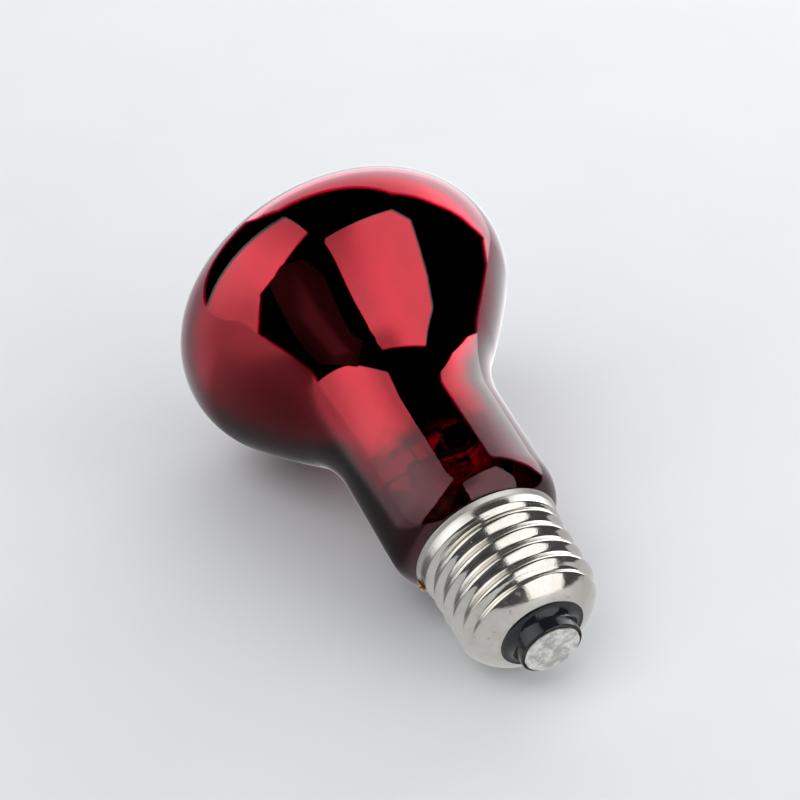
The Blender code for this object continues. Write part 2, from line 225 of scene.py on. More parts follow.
def join(finish, socket, value):
    """Joins a worked out value to a socket of the material's shader."""
    finish.node_tree.links.new(value, finish.node_tree.nodes["Principled BSDF"].inputs[socket])


# Looked at on a slant the wall takes up more light, so the ruby darkens towards its edges. It does so
# sooner on the neck, where the mirror behind it is thinner.
ruby = new_finish("ruby glass", Roughness=0.0, IOR=1.51, Transmission_Weight=1.0)
spot = upright(ruby)
streaks = cloudy(ruby, upright(ruby, (1.0, 1.0, 4.0)), 0.11)
colour = mixed(ruby, spread(ruby, streaks, 0.35, 0.65), RUBY, DEEP_RUBY)
slant = put(ruby, "LayerWeight", {"Blend": 0.5}).outputs["Facing"]
on_neck = spread(ruby, height_of(ruby, spot), NECK_FROM, NECK_TO, 0.0, NECK_SLANT)
slant = combined(ruby, "ADD", slant, on_neck)
join(ruby, "Base Color", mixed(ruby, spread(ruby, slant, EDGE_FROM, EDGE_TO), colour, EDGE_RUBY))
join(ruby, "Normal", raised(ruby, cloudy(ruby, spot, 0.10, 1.0), RIPPLE))

skin = bmesh.new()
draw_wall(skin, (0.0, LENS_TOP), 0.0, LENS_AND_RIM + BOWL + NECK)
turn_round(skin)
bulb = lay_down(skin, "ruby_bulb", ruby)
give_wall(bulb, GLASS_WALL, 0.2)
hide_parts("glass_envelope")

# ---------------------------------------------------------------------------------- mirror film
# Aluminium is boiled off inside the bulb after it is blown. It settles as a bright mirror from just
# past the widest part of the bowl down to the top of the neck, and thins below that to a smoky veil.
FILM_GAP = 0.05
FILM = 0.03
FILM_RIM_TURN = 30.0
FILM_FOOT = 1.0
FADE_FROM, FADE_TO = 50.0, 39.5
FADE_RAGGED = 3.0
BRIGHT_ALUMINIUM = (0.90, 0.90, 0.91, 1.0)
SMOKY_ALUMINIUM = (0.05, 0.046, 0.048, 1.0)
NO_LIGHT = (0.0, 0.0, 0.0, 1.0)
VEIL_COVER = 0.58


def inside(runs, depth):
    """The same runs as followed by a wall that lies deeper by depth."""
    return [(bend and bend - depth, amount) for bend, amount in runs]


film_finish = new_finish("aluminium film", Metallic=1.0, Specular_Tint=NO_LIGHT)
spot = upright(film_finish)
wisps = cloudy(film_finish, spot, 0.25, 4.0)
ragged = spread(film_finish, wisps, 0.0, 1.0, -FADE_RAGGED, FADE_RAGGED)
fading = combined(film_finish, "ADD", height_of(film_finish, spot), ragged)
bright = spread(film_finish, fading, FADE_TO, FADE_FROM)
join(film_finish, "Base Color", mixed(film_finish, bright, SMOKY_ALUMINIUM, BRIGHT_ALUMINIUM))
haze = cloudy(film_finish, spot, 0.8, 3.0)
join(film_finish, "Roughness", spread(film_finish, haze, 0.2, 0.8, 0.015, 0.05))
join(film_finish, "Alpha", spread(film_finish, bright, 0.0, 0.4, VEIL_COVER, 1.0))

# The outline of the glass is followed to where the film begins, and the film goes on from there.
depth = GLASS_WALL + FILM_GAP
rim_radius, rim_turn = LENS_AND_RIM[1]
front = bmesh.new()
bare = [LENS_AND_RIM[0], (rim_radius, rim_turn - FILM_RIM_TURN)]
edge = draw_wall(front, (0.0, LENS_TOP), 0.0, bare).co.copy()
front.free()
heading = 90.0 - FILM_RIM_TURN
edge -= Vector((math.sin(math.radians(heading)), 0.0, math.cos(math.radians(heading)))) * depth
skin = bmesh.new()
covered = inside([(rim_radius, FILM_RIM_TURN)] + BOWL + NECK[:2], depth) + [(0, FILM_FOOT)]
draw_wall(skin, (edge.x, edge.z), heading, covered)
turn_round(skin)
film = lay_down(skin, "mirror_film", film_finish)
give_wall(film, FILM, 0.005)
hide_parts("mirror_coating")

# ------------------------------------------------------------------------------------- glass stem
# The stem is soft clear lead glass: a flared tube whose foot is fused into the neck, pinched flat at
# its top round the wires, with the thin tube inside it that the air was drawn out through.
STEM_RADIUS = 5.0
STEM_WALL = 0.8
STEM_TOP = 38.7
EXHAUST_RADIUS = 2.0
EXHAUST_TOP = 38.4
PRESS_SIZE = (3.4, 12.0, 7.5)
PRESS_MIDDLE = 42.75
PRESS_ROUNDING = 1.2
PRESS_WAIST = 0.22
ROD_TOP = 62.4
FLARE = [(0, 17.0), (-6.5, -55.0), (0, 1.6)]
PUMP_TUBE = [(0, 25.6), (5.0, 35.0), (0.6, 55.0)]
BUTTON_AND_ROD = [(2.4, 70.0), (0.9, 90.0), (-1.6, -70.0), (0, 1.0), (0, 11.0), (0.4, 90.0)]
CLEAR_GLASS = (0.86, 0.90, 0.90, 1.0)
CLOUDED_GLASS = (0.78, 0.84, 0.83, 1.0)

clear = new_finish("clear stem glass", Roughness=0.02, IOR=1.55, Transmission_Weight=1.0)
seeds = cloudy(clear, upright(clear), 0.9, 3.0)
join(clear, "Base Color", mixed(clear, seeds, CLEAR_GLASS, CLOUDED_GLASS))
join(clear, "Normal", raised(clear, seeds, 0.08))

skin = bmesh.new()
draw_wall(skin, (STEM_RADIUS, STEM_TOP), 90.0, FLARE)
turn_round(skin, 64)
flare = lay_down(skin, "stem_flare", clear)
give_wall(flare, STEM_WALL, 0.15)
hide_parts("flare_tube")

press = bmesh.new()
bmesh.ops.create_cube(press, size=1.0)
bmesh.ops.scale(press, verts=press.verts, vec=PRESS_SIZE)
bmesh.ops.bevel(
    press,
    geom=press.edges[:],
    offset=PRESS_ROUNDING,
    offset_type="OFFSET",
    affect="EDGES",
    segments=5,
    profile=0.5,
    material=-1,
)
long_edges = [side for side in press.edges if side.calc_length() > 1.3]
bmesh.ops.subdivide_edges(press, edges=long_edges, cuts=7, use_grid_fill=True)
for vert in press.verts:
    waist = 1.0 - PRESS_WAIST * math.cos(vert.co.z / PRESS_SIZE[2] * math.pi) ** 2
    vert.co.x *= waist
    vert.co.z += PRESS_MIDDLE
bmesh.ops.recalc_face_normals(press, faces=press.faces)
pinch = lay_down(press, "stem_pinch", clear)
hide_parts("stem_press")

skin = bmesh.new()
draw_wall(skin, (EXHAUST_RADIUS, EXHAUST_TOP), 90.0, PUMP_TUBE)
turn_round(skin, 32)
tube = lay_down(skin, "pump_tube", clear)
give_wall(tube, STEM_WALL, 0.1)
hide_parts("exhaust_tube")

skin = bmesh.new()
draw_wall(skin, (0.0, ROD_TOP), 0.0, BUTTON_AND_ROD)
turn_round(skin, 40)
button = lay_down(skin, "button_rod", clear)
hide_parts("arbor_rod")

# ----------------------------------------------------------------------------------- lead wires
# Each of the two leads is three wires butt welded in a row: copper below the pinch, a copper-sheathed
# seal wire in the glass, and stiff nickel above it that is pinched round an end of the filament.
LEAD_OFFSET = 3.2
SEAL_RADIUS = 0.22
LEAD_RADIUS = 0.3
OUTER_LEAD_RADIUS = 0.15
FILAMENT_RADIUS = 12.0
FILAMENT_HEIGHT = 67.0
LEAD_TIP_ANGLE = 120.0
SIDE_JOINT_ANGLE = 64.0
COPPER = (0.78, 0.40, 0.26, 1.0)
BROWN_COPPER = (0.42, 0.19, 0.11, 1.0)
WIRE_NICKEL = (0.64, 0.61, 0.57, 1.0)
GREY_NICKEL = (0.38, 0.36, 0.34, 1.0)


def around(reach, degrees, height):
    """A place so far out from the axis, so far round it and so high up."""
    angle = math.radians(degrees)
    return Vector((reach * math.cos(angle), reach * math.sin(angle), height))


def bend_wire(name, points, radius, finish, sides=10, smooth=6):
    """Bends a round wire smoothly through its points."""
    course = bpy.data.curves.new(name, "CURVE")
    course.dimensions = "3D"
    course.bevel_depth = radius
    course.bevel_resolution = sides // 2 - 2
    course.resolution_u = smooth
    course.use_fill_caps = True
    run = course.splines.new("BEZIER")
    run.bezier_points.add(len(points) - 1)
    for knot, point in zip(run.bezier_points, points):
        knot.co = point
        knot.handle_left_type = "AUTO"
        knot.handle_right_type = "AUTO"
    drawn = bpy.data.objects.new(name, course)
    shape = bmesh.new()
    mesh = bpy.data.meshes.new_from_object(drawn)
    shape.from_mesh(mesh)
    bpy.data.objects.remove(drawn)
    bpy.data.curves.remove(course)
    bpy.data.meshes.remove(mesh)
    face_out(shape)
    return lay_down(shape, name, finish)


def wire_finish(name, light, dark, rough):
    """Drawn metal wire: tarnish in clouds, and fine scores along it from the die."""
    made = new_finish(name, Metallic=1.0)
    place = upright(made)
    tarnish = cloudy(made, place, 0.9, 4.0)
    join(made, "Base Color", mixed(made, spread(made, tarnish, 0.35, 0.7), light, dark))
    join(made, "Roughness", spread(made, tarnish, 0.2, 0.8, rough - 0.1, rough + 0.15))
    join(made, "Normal", raised(made, cloudy(made, place, 9.0, 2.0), 0.01))
    return made


copper = wire_finish("copper wire", COPPER, BROWN_COPPER, 0.3)
nickel_wire = wire_finish("nickel wire", WIRE_NICKEL, GREY_NICKEL, 0.28)
for side, sign in (("centre", -1.0), ("side", 1.0)):
    y = sign * LEAD_OFFSET
    tip = sign * LEAD_TIP_ANGLE
    seal = bend_wire(f"seal_{side}", [(0, y, 38.1), (0, y, 47.4)], SEAL_RADIUS, copper)
    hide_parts(f"seal_wire_{side}")
    course = [
        (0.0, y, 47.65),
        (0.0, y, 50.0),
        around(FILAMENT_RADIUS - 1.2, tip, FILAMENT_HEIGHT - 4.6),
        around(FILAMENT_RADIUS, tip, FILAMENT_HEIGHT - 2.0),
        around(FILAMENT_RADIUS, tip, FILAMENT_HEIGHT + 0.9),
    ]
    upper = bend_wire(f"lead_{side}", course, LEAD_RADIUS, nickel_wire)
    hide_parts(f"inner_lead_{side}")
course = [
    (0, -LEAD_OFFSET, 37.8),
    (0, -LEAD_OFFSET, 24.0),
    (0, -LEAD_OFFSET, 10.5),
    (0, -2.56, 8.5),
    (0, -0.4, 6.5),
    (0, 0, 5.2),
    (0, 0, 0.75),
]
tail = bend_wire("tail_centre", course, OUTER_LEAD_RADIUS, copper)
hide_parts("outer_lead_centre")
course = [
    (0, LEAD_OFFSET, 37.8),
    (0, LEAD_OFFSET, 24.0),
    (0, LEAD_OFFSET, 12.0),
    (0.4, 3.8, 11.1),
    around(10.5, SIDE_JOINT_ANGLE, 11.1),
    around(11.3, SIDE_JOINT_ANGLE, 11.9),
    around(11.3, SIDE_JOINT_ANGLE, 22.3),
    around(12.5, SIDE_JOINT_ANGLE, 24.6),
]
tail = bend_wire("tail_side", course, OUTER_LEAD_RADIUS, copper)
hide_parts("outer_lead_side")

# ------------------------------------------------------------------------- filament and its hooks
# The filament is tungsten wire wound in a fine coil and set in an open ring across the bowl. Its ends
# are pinched in the two leads, and four molybdenum hooks in the glass button carry it between them.
COIL_RADIUS = 0.36
COIL_WIRE = 0.085
COIL_TURNS = 150
COIL_STEPS = 12
COIL_HALF_ANGLE = 117.0
HOOK_ANGLES = (-72.0, -24.0, 24.0, 72.0)
HOOK_WIRE = 0.15
HOOK_LOOP = 0.95
TUNGSTEN = (0.34, 0.34, 0.36, 1.0)
DARK_TUNGSTEN = (0.16, 0.16, 0.18, 1.0)
MOLYBDENUM = (0.50, 0.50, 0.52, 1.0)
DARK_MOLYBDENUM = (0.28, 0.28, 0.30, 1.0)

tungsten = wire_finish("tungsten", TUNGSTEN, DARK_TUNGSTEN, 0.45)
molybdenum = wire_finish("molybdenum", MOLYBDENUM, DARK_MOLYBDENUM, 0.35)
course = []
for step in range(COIL_TURNS * COIL_STEPS + 1):
    along = step / (COIL_TURNS * COIL_STEPS)
    turn = math.tau * step / COIL_STEPS
    reach = FILAMENT_RADIUS + COIL_RADIUS * math.cos(turn)
    height = FILAMENT_HEIGHT + COIL_RADIUS * math.sin(turn)
    course.append(around(reach, COIL_HALF_ANGLE * (2.0 * along - 1.0), height))
coil = bend_wire("filament_coil", course, COIL_WIRE, tungsten, sides=6, smooth=1)
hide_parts("filament")

for number, degrees in enumerate(HOOK_ANGLES, 1):
    course = [around(2.4, degrees, 61.2), around(5.0, degrees, 61.8), around(9.6, degrees, 65.0)]
    for step in range(9):
        turn = math.radians(-100.0 + 38.0 * step)
        reach = FILAMENT_RADIUS + HOOK_LOOP * math.sin(turn)
        course.append(around(reach, degrees + 0.25 * step, FILAMENT_HEIGHT - HOOK_LOOP * math.cos(turn)))
    hook = bend_wire(f"hook_{number}", course, HOOK_WIRE, molybdenum)
    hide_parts(f"support_wire_{number}")

# ------------------------------------------------------------------------------- cement and cap
# Pale basing cement holds the neck in the cap. The cap is pressed from thin brass sheet and nickel
# plated: a flared rim, a plain band, four turns of rolled thread, and a rounded bottom with a mouth.
CEMENT_START = (9.6, 24.3)
CEMENT_RING = [(0, 3.0), (0.15, 90.0), (0, 1.2), (0.15, 90.0), (0, 3.0)]
CEMENT = (0.60, 0.56, 0.48, 1.0)
DARK_CEMENT = (0.40, 0.35, 0.27, 1.0)
CAP_SHEET = 0.3
RIM_RADIUS, RIM_HEIGHT = 13.83, 25.46
FLARE_LEAN = 33.5
FLARE_AND_BAND = [(0, 0.855), (-0.35, -FLARE_LEAN), (0, 1.75)]
BAND_BOTTOM = 22.8
CREST_RADIUS = 13.15
THREAD_DEPTH = 1.05
THREAD_PITCH = 3.65
THREAD_ROOT = 17.08
THREAD_FADE = (7.0, 8.2, 21.8, 22.8)
THREAD_STEPS = 96
DOME_TOP = 9.0
DOME_RADIUS = 12.95
DOME_EDGE = 4.14
DOME_STEPS = 26
MOUTH_RADIUS = 7.94
DOME_POWER = 1.4
FLUX_SPOT = (13.8, SIDE_JOINT_ANGLE, 25.1)
NICKEL = (0.72, 0.695, 0.655, 1.0)
WARM_NICKEL = (0.66, 0.62, 0.56, 1.0)
STAIN = (0.30, 0.22, 0.14, 1.0)
FLUX = (0.26, 0.13, 0.03, 1.0)

cement = new_finish("basing cement", Roughness=0.9)
grit = cloudy(cement, upright(cement), 3.0, 6.0, 0.7)
join(cement, "Base Color", mixed(cement, grit, CEMENT, DARK_CEMENT))
join(cement, "Normal", raised(cement, grit, 0.15))
ring = bmesh.new()
tip = draw_wall(ring, CEMENT_START, 0.0, CEMENT_RING)
ring.verts.ensure_lookup_table()
ring.edges.new((tip, ring.verts[0]))
turn_round(ring)
for vert in ring.verts:
    vert.co.z += 0.12 * noise.noise(vert.co * 0.9)
packing = lay_down(ring, "cement_ring", cement)
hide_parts("basing_cement")


def ease(value, low, high):
    """Goes from 0 at low to 1 at high, and eases in and out."""
    part = min(max((value - low) / (high - low), 0.0), 1.0)
    return part * part * (3.0 - 2.0 * part)


def thread_cut(height, angle):
    """How deep the rollers press the thread in at this height and angle."""
    root = THREAD_ROOT + THREAD_PITCH * angle / math.tau
    wave = 0.5 + 0.5 * math.cos(math.tau * (height - root) / THREAD_PITCH)
    low_from, low_to, high_from, high_to = THREAD_FADE
    return THREAD_DEPTH * wave * ease(height, low_from, low_to) * (1.0 - ease(height, high_from, high_to))


# The plating is a little cloudy. It is stained and pitted low down, brown with flux at the side joint,
# and duller on the flared rim, where it was handled and cemented.
nickel = new_finish("nickel plate", Metallic=0.93)
spot = upright(nickel)
height = height_of(nickel, spot)
low_down = spread(nickel, height, 9.5, 6.5)
clouds = cloudy(nickel, spot, 0.22, 3.0)
colour = mixed(nickel, spread(nickel, clouds, 0.4, 0.7), NICKEL, WARM_NICKEL)
blots = spread(nickel, cloudy(nickel, spot, 0.55, 5.0, 0.6), 0.60, 0.72)
stained = combined(nickel, "MULTIPLY", combined(nickel, "MULTIPLY", blots, low_down), 0.45)
colour = mixed(nickel, stained, colour, STAIN)
pits = spread(nickel, cloudy(nickel, spot, 2.6, 2.0), 0.71, 0.76)
colour = mixed(nickel, combined(nickel, "MULTIPLY", pits, 0.6), colour, STAIN)
flux_spot = {0: spot, 1: around(*FLUX_SPOT)}
off_joint = put(nickel, "VectorMath", flux_spot, operation="DISTANCE").outputs["Value"]
burnt = spread(nickel, combined(nickel, "ADD", off_joint, blots), 3.4, 1.2)
colour = mixed(nickel, combined(nickel, "MULTIPLY", burnt, 0.7), colour, FLUX)
join(nickel, "Base Color", colour)
rolled = cloudy(nickel, upright(nickel, (4.0, 4.0, 0.25)), 1.2, 3.0)
rough = spread(nickel, rolled, 0.25, 0.75, 0.09, 0.14)
rough = combined(nickel, "ADD", rough, combined(nickel, "MULTIPLY", stained, 0.5))
rough = combined(nickel, "ADD", rough, spread(nickel, height, 23.6, 24.8, 0.0, 0.35))
join(nickel, "Roughness", rough)
peel = combined(nickel, "ADD", cloudy(nickel, spot, 1.1, 4.0, 0.6), combined(nickel, "MULTIPLY", pits, -0.8))
join(nickel, "Normal", raised(nickel, peel, 0.02))

sleeve = bmesh.new()
tip = draw_wall(sleeve, (RIM_RADIUS, RIM_HEIGHT), 90.0 + FLARE_LEAN, FLARE_AND_BAND, 0.2)
for step in range(1, THREAD_STEPS + 1):
    tip = bmesh.ops.extrude_vert_indiv(sleeve, verts=[tip])["verts"][0]
    tip.co = (CREST_RADIUS, 0.0, BAND_BOTTOM + (DOME_TOP - BAND_BOTTOM) * step / THREAD_STEPS)
for step in range(1, DOME_STEPS + 1):
    down = step / DOME_STEPS
    down = 1.0 - (1.0 - down) ** 1.5
    reach = (1.0 - down**DOME_POWER) ** (1.0 / DOME_POWER)
    tip = bmesh.ops.extrude_vert_indiv(sleeve, verts=[tip])["verts"][0]
    tip.co = (
        MOUTH_RADIUS + (DOME_RADIUS - MOUTH_RADIUS) * reach,
        0.0,
        DOME_TOP + (DOME_EDGE - DOME_TOP) * down,
    )
turn_round(sleeve, 180)
for vert in sleeve.verts:
    angle = math.atan2(vert.co.y, vert.co.x)
    radius = math.hypot(vert.co.x, vert.co.y)
    left = (radius - thread_cut(vert.co.z, angle)) / radius
    vert.co.x *= left
    vert.co.y *= left
cap = lay_down(sleeve, "screw_shell", nickel)
give_wall(cap, CAP_SHEET, 0.07)
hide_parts("cap_shell")

# ----------------------------------------------------------------------- black glass insulator
# Black glass is poured in the mouth of the cap and pressed while soft: a hollow cove runs down from
# the edge of the mouth to a collar, which stands up round the seat of the contact plate.
COVE = 1.9
COLLAR_EDGE = 0.3
POUR_START = (0.7, 7.2)
POUR = [
    (0, 7.6),
    (0.5, 100.0),
    (0, 1.9),
    (0.45, 80.0),
    (0, 0.25),
    (-COVE, -90.0),
    (0, 1.7),
    (COLLAR_EDGE, 90.0),
    (0.05, 90.0),
    (0, 1.0),
    (-0.05, -90.0),
    (0, 4.75),
    (0.05, 90.0),
]
BLACK_GLASS = (0.008, 0.009, 0.012, 1.0)
DUSTY_GLASS = (0.03, 0.03, 0.032, 1.0)

black = new_finish("black glass")
spot = upright(black)
dust = spread(black, cloudy(black, spot, 4.0, 4.0, 0.7), 0.60, 0.74)
join(black, "Base Color", mixed(black, dust, BLACK_GLASS, DUSTY_GLASS))
join(black, "Roughness", spread(black, cloudy(black, spot, 1.5, 4.0), 0.3, 0.8, 0.05, 0.20))
join(black, "Normal", raised(black, cloudy(black, spot, 0.8, 3.0, 0.6), 0.06))
pour = bmesh.new()
tip = draw_wall(pour, POUR_START, 0.0, POUR, 0.3)
pour.verts.ensure_lookup_table()
pour.edges.new((tip, pour.verts[0]))
turn_round(pour, 128)
insulator = lay_down(pour, "black_insulator", black)
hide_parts("cap_insulator")

# ------------------------------------------------------------------------------ centre contact
# A brass plate lies in the seat of the black glass. The centre lead comes up through its eye, and a
# flat puddle of soft solder covers both, dull and mottled where it was wiped level.
PLATE_START = (0.7, 1.3)
PLATE = [(0, 4.55), (0.05, 90.0), (0, 0.5), (0.05, 90.0), (0, 4.55)]
BRASS = (0.62, 0.46, 0.20, 1.0)
BROWN_BRASS = (0.35, 0.24, 0.10, 1.0)
SOLDER_RADIUS = 5.23
SOLDER_TOP = 0.62
PUDDLE = [(0, 4.98), (0.25, 90.0), (0, 0.05), (0.3, 90.0), (0, 4.88)]
SOLDER = (0.88, 0.87, 0.84, 1.0)
DULL_SOLDER = (0.50, 0.49, 0.465, 1.0)

brass = wire_finish("brass plate", BRASS, BROWN_BRASS, 0.35)
skin = bmesh.new()
tip = draw_wall(skin, PLATE_START, 0.0, PLATE, 0.5)
skin.verts.ensure_lookup_table()
skin.edges.new((tip, skin.verts[0]))
turn_round(skin, 96)
plate = lay_down(skin, "brass_plate", brass)
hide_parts("contact_plate")

solder = new_finish("soft solder", Metallic=0.6)
spot = upright(solder)
mottle = cloudy(solder, spot, 0.42, 5.0, 0.62)
flecks = cloudy(solder, spot, 3.2, 4.0, 0.7)
speckled = combined(solder, "ADD", mottle, combined(solder, "MULTIPLY", flecks, 0.25))
patch = spread(solder, speckled, 0.50, 0.72)
join(solder, "Base Color", mixed(solder, patch, SOLDER, DULL_SOLDER))
join(solder, "Roughness", spread(solder, flecks, 0.3, 0.7, 0.28, 0.5))
join(solder, "Normal", raised(solder, combined(solder, "ADD", mottle, flecks), 0.09))
puddle = bmesh.new()
draw_wall(puddle, (0.0, SOLDER_TOP), 0.0, PUDDLE, 0.16)
turn_round(puddle, 120)
for vert in puddle.verts:
    lump = 0.10 * noise.noise(vert.co * 0.7) + 0.035 * noise.noise(vert.co * 2.3)
    reach = math.hypot(vert.co.x, vert.co.y) / SOLDER_RADIUS
    if vert.co.z < SOLDER_TOP / 2.0:
        vert.co.z += lump * min(reach * 4.0, 1.0)
    vert.co.x *= 1.0 + 0.18 * lump * reach
    vert.co.y *= 1.0 + 0.18 * lump * reach
contact_solder = lay_down(puddle, "contact_puddle", solder)
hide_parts("centre_solder")

# -------------------------------------------------------------------------------- side solder
# The side lead is brought out over the rim of the cap and soldered down there. The drop is small and
# drawn out along the rim, and burnt flux has left it golden brown.
DROP_SIZE = (0.35, 1.9, 0.62)
DROP_RISE = -0.35
GOLDEN = (0.74, 0.52, 0.25, 1.0)
CHARRED = (0.20, 0.09, 0.03, 1.0)

burnt_finish = new_finish("burnt solder", Metallic=0.75)
spot = upright(burnt_finish)
char = cloudy(burnt_finish, spot, 1.4, 4.0, 0.6)
scorched = spread(burnt_finish, char, 0.50, 0.66)
join(burnt_finish, "Base Color", mixed(burnt_finish, scorched, GOLDEN, CHARRED))
join(burnt_finish, "Roughness", spread(burnt_finish, char, 0.3, 0.7, 0.2, 0.4))
join(burnt_finish, "Normal", raised(burnt_finish, char, 0.06))
drop = bmesh.new()
bmesh.ops.create_icosphere(drop, subdivisions=5, radius=1.0)
bmesh.ops.scale(drop, verts=drop.verts, vec=DROP_SIZE)
for vert in drop.verts:
    vert.co += vert.co.normalized() * 0.16 * noise.noise(vert.co * 1.9)
place = Matrix.Rotation(math.radians(SIDE_JOINT_ANGLE), 4, "Z")
place = place @ Matrix.Translation((RIM_RADIUS + 0.05, 0.0, RIM_HEIGHT + DROP_RISE))
bmesh.ops.transform(drop, verts=drop.verts, matrix=place)
side_drop = lay_down(drop, "side_drop", burnt_finish)
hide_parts("side_solder")

# --------------------------------------------------------------------------- floor and backdrop
# The lamp lies on a round pale table top, just touching it with the rim of its bowl and the edge of
# its cap. A pale shell far away stands in for the walls of the room, and only the camera sees it.
FLOOR_RADIUS = 0.55
FLOOR_COLOUR = (0.717, 0.736, 0.758, 1.0)
WORN_FLOOR = (0.705, 0.724, 0.746, 1.0)
WALL_GLOW = (0.80, 0.82, 0.85, 1.0)
WALL_RADIUS = 4.5
LOW_EDGE = 0.2
LOW_LIGHT = (0.97, 0.98, 1.0, 1.0)
SHADOW_ACROSS = (0.852, 0.524, 0.0)
PAINTED_TABLE_GLOW = [
    (-179, 0.62),
    (-120, 0.60),
    (-88, 0.30),
    (-62, 1.05),
    (-35, 1.60),
    (-5, 0.85),
    (60, 0.56),
    (90, 0.34),
    (150, 0.62),
]
visual_low, visual_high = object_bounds()


def add_stage(shape, name, finish):
    """Adds something that isn't part of the lamp."""
    mesh = bpy.data.meshes.new(name)
    shape.to_mesh(mesh)
    shape.free()
    mesh.materials.append(finish)
    made = bpy.data.objects.new(name, mesh)
    bpy.context.scene.collection.objects.link(made)
    return made


def lay_disc(name, finish, cut_off=None):
    """Lays a round disc under the lamp, and cuts it off straight on the side of the back light."""
    disc = bmesh.new()
    bmesh.ops.create_circle(disc, cap_ends=True, segments=128, radius=FLOOR_RADIUS)
    bmesh.ops.translate(disc, verts=disc.verts, vec=(0.0, 0.0, visual_low.z))
    if cut_off:
        whole = disc.verts[:] + disc.edges[:] + disc.faces[:]
        place = {"plane_co": (0.0, -cut_off, 0.0), "plane_no": (0.0, -1.0, 0.0)}
        bmesh.ops.bisect_plane(disc, geom=whole, clear_outer=True, **place)
    return add_stage(disc, name, finish)


table_top = new_finish("table top", Roughness=0.75, Specular_IOR_Level=0.15)
spot = put(table_top, "TexCoord", {}).outputs["Object"]
marks = spread(table_top, cloudy(table_top, spot, 35.0, 4.0), 0.3, 0.7)
join(table_top, "Base Color", mixed(table_top, marks, FLOOR_COLOUR, WORN_FLOOR))
table = lay_disc("table_top", table_top)
table.visible_glossy = False
table.visible_transmission = False

# The glass and the plating mirror the table top duller than the camera sees it: it brightens only
# towards the back light, and the lamp's long shadow lies across it. So a second disc is laid there,
# which only gloss and clear glass see. Its glow is a painted reflection of the table top, given by
# bearing in degrees, with a painted shadow of the lamp darkened into it.
painted_table_glow = new_finish("table top painted glow", Base_Color=NO_LIGHT, Emission_Color=LOW_LIGHT)
spot = put(painted_table_glow, "TexCoord", {}).outputs["Object"]
round_about = put(painted_table_glow, "TexGradient", {"Vector": spot}, gradient_type="RADIAL").outputs["Fac"]
ramp = put(painted_table_glow, "ValToRGB", {"Fac": round_about})
ramp.color_ramp.interpolation = "B_SPLINE"
ramp.color_ramp.elements.remove(ramp.color_ramp.elements[-1])
for bearing, glow in PAINTED_TABLE_GLOW:
    step = ramp.color_ramp.elements.new(0.5 + bearing / 360.0)
    step.color = (glow / 2.0, glow / 2.0, glow / 2.0, 1.0)
ramp.color_ramp.elements.remove(ramp.color_ramp.elements[0])
# Painted shadow: a band across the disc, where the lamp's long shadow is painted into the glow.
over = {0: spot, 1: SHADOW_ACROSS}
across = put(painted_table_glow, "VectorMath", over, operation="DOT_PRODUCT").outputs["Value"]
beside = put(painted_table_glow, "SeparateXYZ", {"Vector": spot}).outputs["Y"]
shadow = spread(painted_table_glow, across, 0.085, 0.035)
shadow = combined(painted_table_glow, "MULTIPLY", shadow, spread(painted_table_glow, across, -0.015, 0.005))
shadow = combined(painted_table_glow, "MULTIPLY", shadow, spread(painted_table_glow, beside, -0.005, 0.02))
shading = spread(painted_table_glow, shadow, 0.0, 1.0, 2.0, 0.4)
join(painted_table_glow, "Emission Strength", combined(painted_table_glow, "MULTIPLY", ramp.outputs["Color"], shading))
painted_glow_disc = lay_disc("table_top_painted_glow", painted_table_glow, cut_off=LOW_EDGE)
for sight in ("camera", "diffuse", "shadow"):
    setattr(painted_glow_disc, "visible_" + sight, False)

pale = new_finish("far wall", Base_Color=NO_LIGHT, Emission_Color=WALL_GLOW, Emission_Strength=1.0)
shell = bmesh.new()
bmesh.ops.create_icosphere(shell, subdivisions=4, radius=WALL_RADIUS)
far_wall = add_stage(shell, "far_wall", pale)
for sight in ("diffuse", "glossy", "transmission", "volume_scatter", "shadow"):
    setattr(far_wall, "visible_" + sight, False)

# ------------------------------------------------------------------------------- studio lights
# Three large soft panels stand round the table, with dark gaps between them that the glass mirrors.
# The one behind the lamp is the brightest, and a small dim one stands in the widest gap. Three wide
# soft lights, which nothing mirrors, lift the table top and soften the lamp's shadow.
WINDOW = [(-0.48, -0.75), (0.44, -0.75), (0.52, -0.50), (0.57, -0.32), (0.60, -0.17)]
WINDOW += [(0.61, -0.04), (0.59, 0.09), (0.55, 0.21), (0.42, 0.63), (-0.48, 0.63)]
MIDDLE = [(-0.43, -0.6), (0.46, -0.6), (0.48, 0.08), (0.46, 0.18), (0.42, 0.30), (0.38, 0.43)]
MIDDLE += [(0.345, 0.62), (-0.38, 0.62), (-0.42, 0.50), (-0.405, 0.42), (-0.435, 0.30), (-0.41, 0.15)]
BACK = [(-0.72, -0.62), (0.95, -0.62), (0.95, 0.2), (0.72, 0.6), (-0.35, 0.6), (-0.60, 0.30)]
BACK += [(-0.74, -0.15)]
DIM = [(-0.2, -0.2), (0.2, -0.2), (0.2, 0.4), (-0.2, 0.4)]
WHITE_LIGHT = (1.0, 1.0, 1.0, 1.0)


